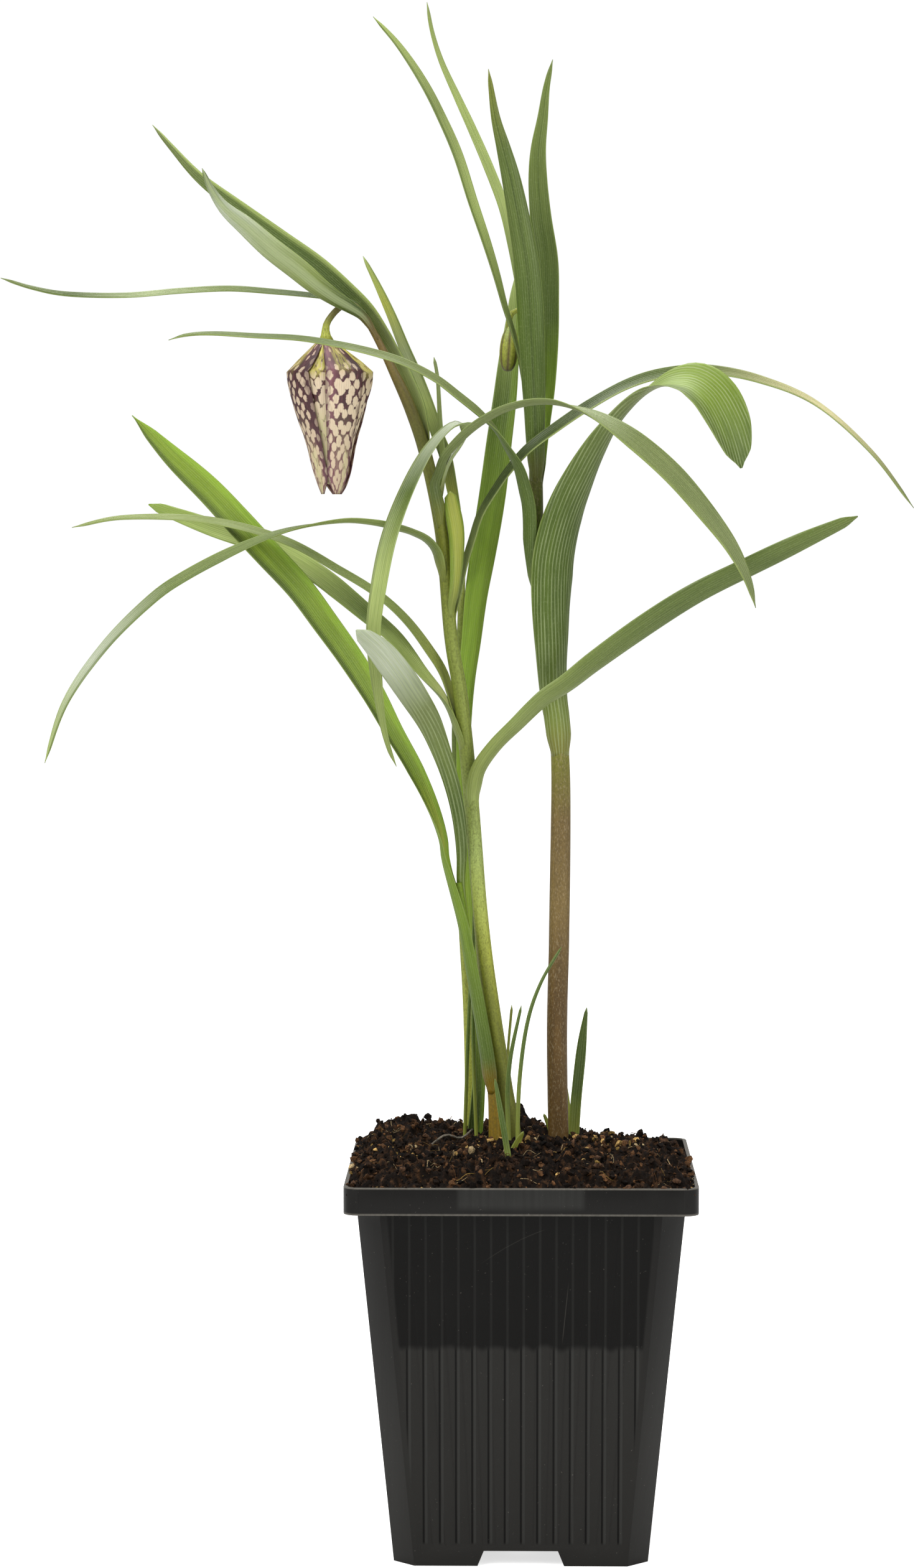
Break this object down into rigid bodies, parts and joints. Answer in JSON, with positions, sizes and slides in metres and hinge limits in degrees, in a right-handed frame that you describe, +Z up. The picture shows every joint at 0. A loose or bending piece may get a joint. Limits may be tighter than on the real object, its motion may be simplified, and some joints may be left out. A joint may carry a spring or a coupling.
{
  "type": "potted snake's head fritillary",
  "caption": "Spring bulb plant in a square nursery pot: slender stems, grass-like leaves, one hanging chequered bell flower and one closed bud.",
  "frame": {"origin": "middle of the whole plant's bounding box, on the surface that the pot stands on; the pot's own centre line lies a little to the right of it", "axes": "+Z up along the stems, +X to the viewer's right along the plant's spread, +Y away from the viewer"},
  "size_m": [0.2392, 0.09, 0.4026],
  "materials": {
    "pot_plastic": "black moulded plastic, semi-gloss, a little scuffed and dusty",
    "soil": "moist dark peat compost, crumbly and fibrous, no gloss",
    "bulb": "pale fleshy bulb, buried",
    "stem_green": "olive green stem with fine speckles, waxy",
    "stem_brown": "brown purple stem with pale speckles, waxy",
    "leaf_green": "fresh green blade, fine veins, faint wax",
    "leaf_grey": "grey-green blade with a waxy bloom, fine veins",
    "shoot": "young yellow-green shoot",
    "tepal": "cream chequered with dark purple, yellow-green at the shoulder, matte",
    "flower_heart": "yellow-green style and stamens",
    "bud": "closed green bud with dark stripes"
  },
  "bodies": {
    "root": {"pot": "pot_plastic", "soil": "soil", "bulb_a": "bulb", "bulb_b": "bulb", "bulb_c": "bulb", "bulb_d": "bulb", "stem_a": "stem_green", "stem_b": "stem_brown", "stem_c": "stem_green", "stem_d": "stem_green", "leaf_a1": "leaf_green", "leaf_a2": "leaf_green", "leaf_a3": "leaf_green", "leaf_a4": "leaf_green", "leaf_a5": "leaf_green", "leaf_a6": "leaf_grey", "leaf_a7": "leaf_grey", "leaf_a8": "leaf_green", "leaf_a9": "leaf_grey", "leaf_a10": "leaf_grey", "leaf_a11": "leaf_green", "leaf_a12": "leaf_grey", "leaf_b1": "leaf_grey", "leaf_b2": "leaf_green", "leaf_b3": "leaf_green", "leaf_b4": "leaf_green", "leaf_b5": "leaf_grey", "leaf_b6": "leaf_grey", "leaf_c1": "leaf_green", "leaf_c2": "leaf_grey", "leaf_d1": "leaf_green", "leaf_basal": "leaf_green", "shoot_1": "shoot", "shoot_2": "shoot", "shoot_3": "shoot", "shoot_4": "shoot", "shoot_5": "shoot", "shoot_6": "shoot", "shoot_7": "shoot", "shoot_8": "shoot", "shoot_9": "shoot", "shoot_10": "shoot", "tepal_outer_1": "tepal", "tepal_outer_2": "tepal", "tepal_outer_3": "tepal", "tepal_inner_1": "tepal", "tepal_inner_2": "tepal", "tepal_inner_3": "tepal", "pistil": "flower_heart", "stamens": "flower_heart", "bud": "bud"}
  },
  "joints": []
}
